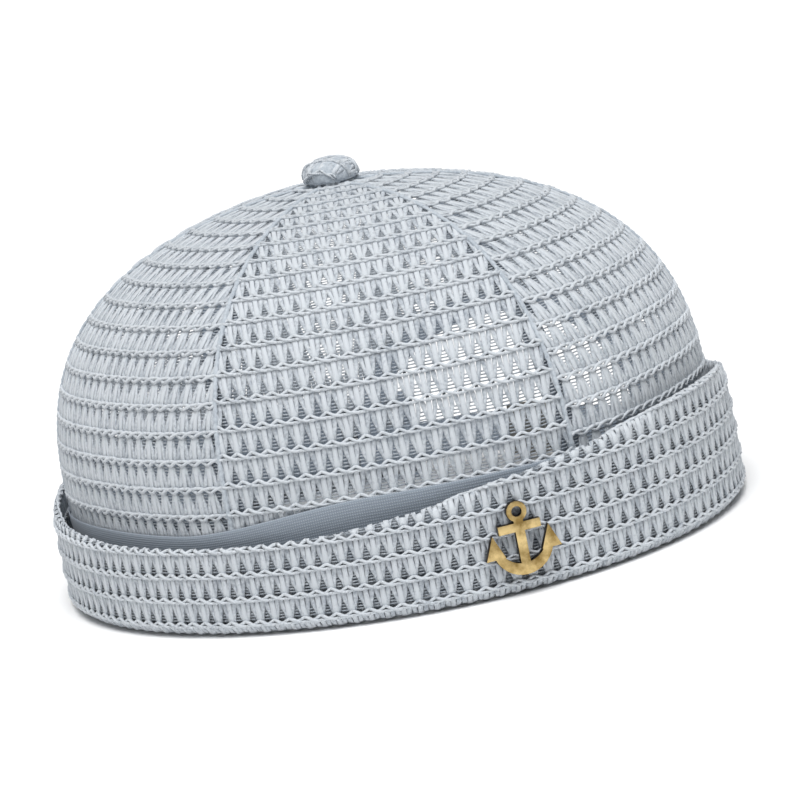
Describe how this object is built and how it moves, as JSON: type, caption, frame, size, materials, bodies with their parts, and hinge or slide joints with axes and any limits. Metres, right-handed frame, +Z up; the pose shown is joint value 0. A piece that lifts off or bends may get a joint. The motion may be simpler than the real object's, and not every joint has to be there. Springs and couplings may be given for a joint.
{
  "type": "brimless cap",
  "caption": "Brimless open-mesh cap with panels joined at a covered button, a turned-up cuff, a small emblem and a strapped arch at the back.",
  "frame": {"origin": "middle of the cap's outer box at its foot, where the cuff rests", "axes": "+X is the wearer's left, -Y is the front, +Z is up through the button"},
  "size_m": [0.2246, 0.1986, 0.1245],
  "materials": {
    "net": "open warp-knitted net of pale grey-blue matt yarn",
    "plain_cloth": "plain woven cloth, grey-blue, matt",
    "aged_brass": "antiqued cast brass, dark in the hollows",
    "dark_metal": "satin grey metal"
  },
  "bodies": {
    "root": {"crown_panel_front_left": "net", "crown_panel_side_left": "net", "crown_panel_back_left": "net", "crown_panel_back_right": "net", "crown_panel_side_right": "net", "crown_panel_front_right": "net", "seam_tape_1": "plain_cloth", "seam_tape_2": "plain_cloth", "seam_tape_3": "plain_cloth", "seam_tape_4": "plain_cloth", "seam_tape_5": "plain_cloth", "seam_tape_6": "plain_cloth", "sweatband": "plain_cloth", "arch_binding": "plain_cloth", "cuff": "net", "top_button": "net", "emblem": "aged_brass", "emblem_clasp": "dark_metal", "back_strap": "plain_cloth", "strap_buckle": "dark_metal"}
  },
  "joints": []
}
